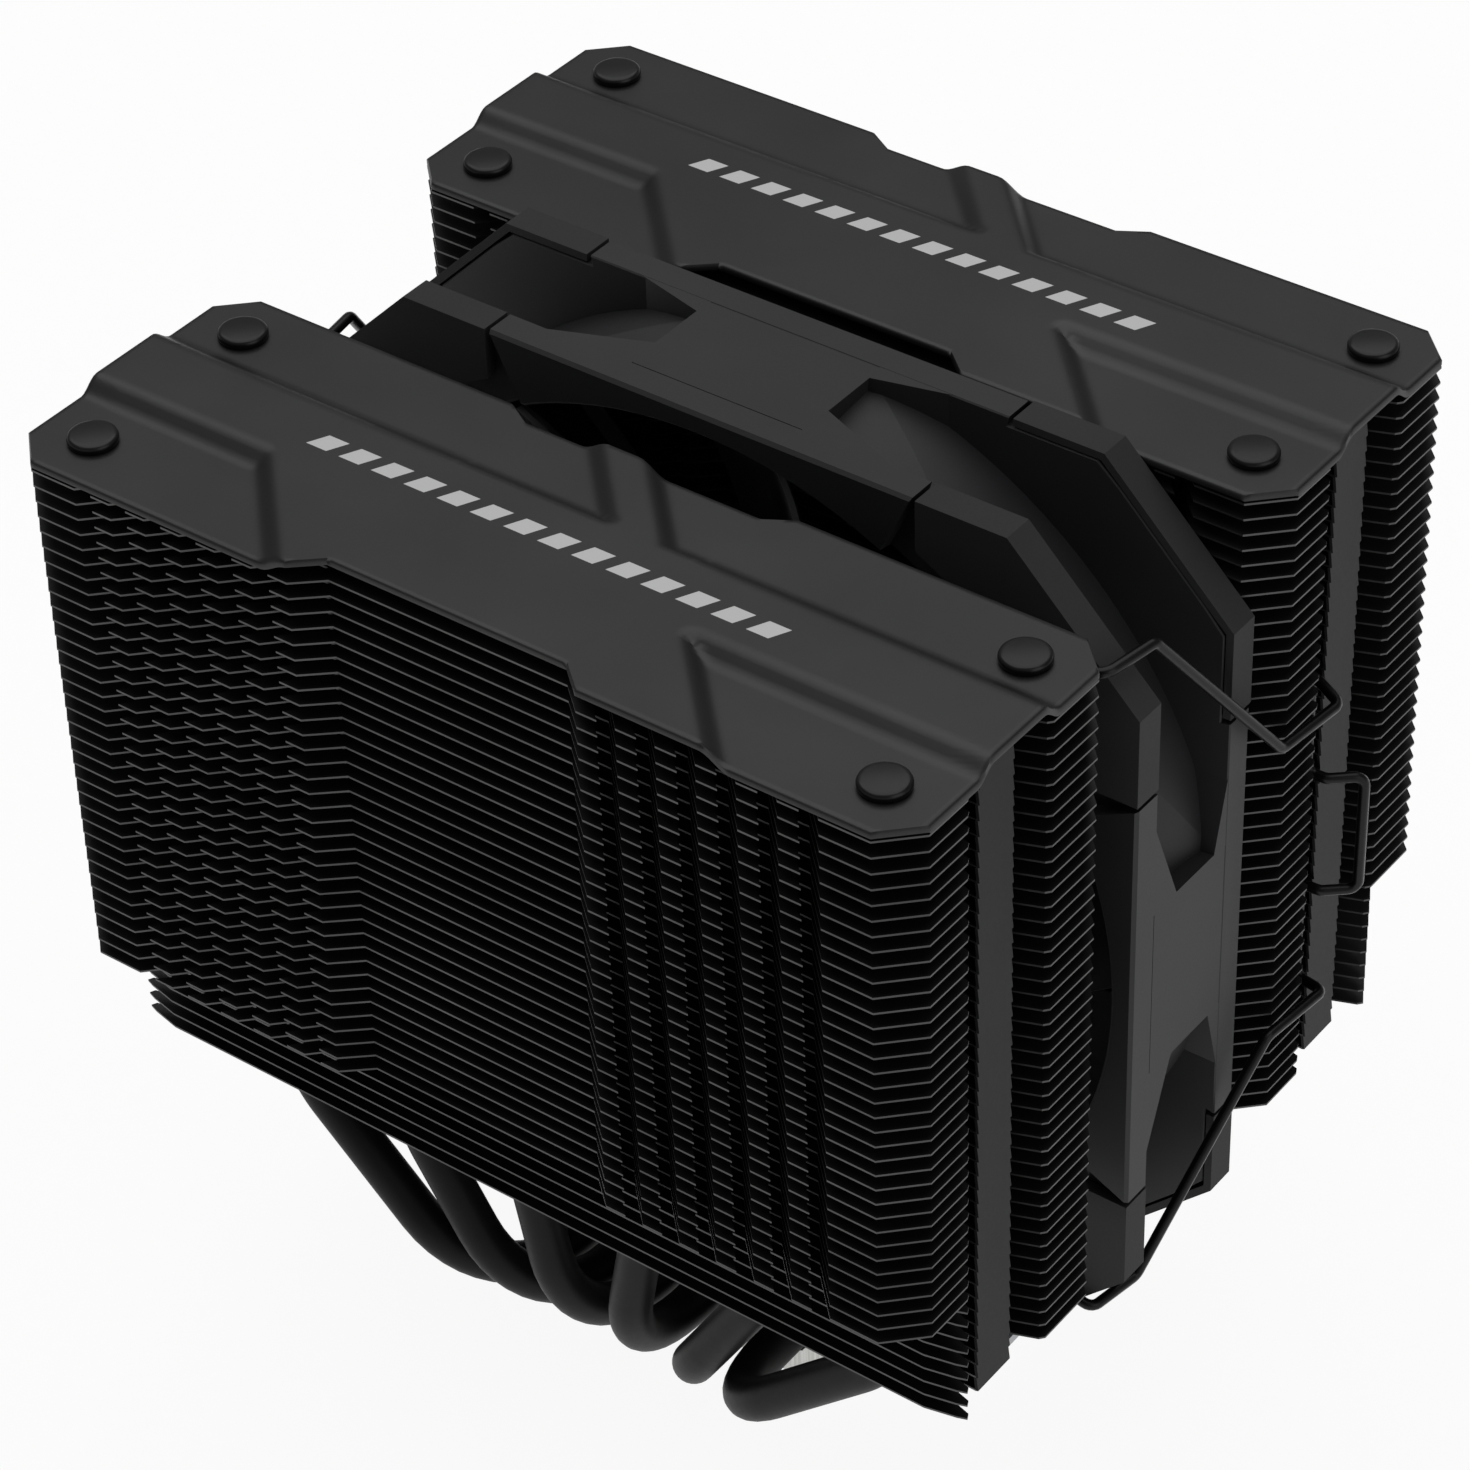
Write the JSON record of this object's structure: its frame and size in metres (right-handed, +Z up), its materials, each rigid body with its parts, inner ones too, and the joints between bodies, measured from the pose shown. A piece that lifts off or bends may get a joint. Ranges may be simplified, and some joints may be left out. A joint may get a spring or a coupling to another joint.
{
  "type": "cpu tower cooler",
  "caption": "Twin-tower air cooler for a computer processor: U-shaped heat pipes, black finned towers with dark covers and a clipped-in axial fan.",
  "frame": {"origin": "centre of the cold plate's contact face", "axes": "+Z up out of the processor, X along the towers' long side, Y from the front tower to the rear tower, which is the way the air flows"},
  "size_m": [0.1546, 0.1292, 0.1585],
  "materials": {
    "black_fins": "black coated sheet",
    "dark_covers": "satin dark grey anodised",
    "gloss_studs": "gloss black",
    "black_pipes": "satin black coating",
    "plated_base": "bright nickel plate",
    "steel_hardware": "satin steel",
    "rubber_pads": "matt black",
    "grey_frame": "fine satin",
    "grey_rotor": "fine satin",
    "bearing_bronze": "oiled sintered metal",
    "motor_windings": "enamelled copper on steel",
    "magnet": "matt ferrite",
    "circuit_board": "green mask",
    "clip_wire": "black spring wire"
  },
  "bodies": {
    "heatsink": {"front_fin_stack": "black_fins", "rear_fin_stack": "black_fins", "front_cover": "dark_covers", "rear_cover": "dark_covers", "front_cover_stud_1": "gloss_studs", "front_cover_stud_2": "gloss_studs", "front_cover_stud_3": "gloss_studs", "front_cover_stud_4": "gloss_studs", "rear_cover_stud_1": "gloss_studs", "rear_cover_stud_2": "gloss_studs", "rear_cover_stud_3": "gloss_studs", "rear_cover_stud_4": "gloss_studs", "heat_pipe_1": "black_pipes", "heat_pipe_2": "black_pipes", "heat_pipe_3": "black_pipes", "heat_pipe_4": "black_pipes", "heat_pipe_5": "black_pipes", "heat_pipe_6": "black_pipes", "cold_plate": "plated_base", "clamp_block": "plated_base", "mounting_bar": "steel_hardware", "left_bar_screw": "steel_hardware", "right_bar_screw": "steel_hardware", "left_screw_spring": "steel_hardware", "right_screw_spring": "steel_hardware"},
    "fan": {"fan_front_flange": "grey_frame", "fan_rear_flange": "grey_frame", "fan_duct": "grey_frame", "fan_motor_mount": "grey_frame", "front_upper_left_pad": "rubber_pads", "front_upper_right_pad": "rubber_pads", "front_lower_left_pad": "rubber_pads", "front_lower_right_pad": "rubber_pads", "rear_upper_left_pad": "rubber_pads", "rear_upper_right_pad": "rubber_pads", "rear_lower_left_pad": "rubber_pads", "rear_lower_right_pad": "rubber_pads", "fan_bearing": "bearing_bronze", "fan_stator": "motor_windings", "fan_circuit_board": "circuit_board"},
    "rotor": {"fan_rotor": "grey_rotor", "fan_shaft": "steel_hardware", "fan_magnet_ring": "magnet"},
    "left_clip": {"left_fan_clip": "clip_wire"},
    "right_clip": {"right_fan_clip": "clip_wire"},
    "left_screw_carriage": {"left_retaining_ring": "steel_hardware"},
    "right_screw_carriage": {"right_retaining_ring": "steel_hardware"},
    "left_screw": {"left_spring_screw": "steel_hardware"},
    "right_screw": {"right_spring_screw": "steel_hardware"}
  },
  "joints": [
    {"name": "fan_height_slide", "type": "slide", "parent": "heatsink", "child": "fan", "axis": [0, 0, 1], "range_m": [0, 0.015]},
    {"name": "rotor_spin", "type": "hinge", "parent": "fan", "child": "rotor", "pos_m": [0, 0.005, 0.0885], "axis": [0, 1, 0], "continuous": true},
    {"name": "left_clip_swing", "type": "hinge", "parent": "fan", "child": "left_clip", "pos_m": [-0.0525, -0.0089, 0.0885], "axis": [0, 0, 1], "range_deg": [0, 8], "stiffness_Nm_per_rad": 0.4},
    {"name": "right_clip_swing", "type": "hinge", "parent": "fan", "child": "right_clip", "pos_m": [0.0525, -0.0089, 0.0885], "axis": [0, 0, -1], "range_deg": [0, 8], "stiffness_Nm_per_rad": 0.4},
    {"name": "left_screw_travel", "type": "slide", "parent": "heatsink", "child": "left_screw_carriage", "axis": [0, 0, 1], "range_m": [-0.004, 0], "stiffness_N_per_m": 3000, "deforming": ["left_screw_spring"]},
    {"name": "left_screw_turn", "type": "hinge", "parent": "left_screw_carriage", "child": "left_screw", "pos_m": [-0.041, 0, 0.01], "axis": [0, 0, 1], "continuous": true},
    {"name": "right_screw_travel", "type": "slide", "parent": "heatsink", "child": "right_screw_carriage", "axis": [0, 0, 1], "range_m": [-0.004, 0], "stiffness_N_per_m": 3000, "deforming": ["right_screw_spring"]},
    {"name": "right_screw_turn", "type": "hinge", "parent": "right_screw_carriage", "child": "right_screw", "pos_m": [0.041, 0, 0.01], "axis": [0, 0, 1], "continuous": true}
  ]
}
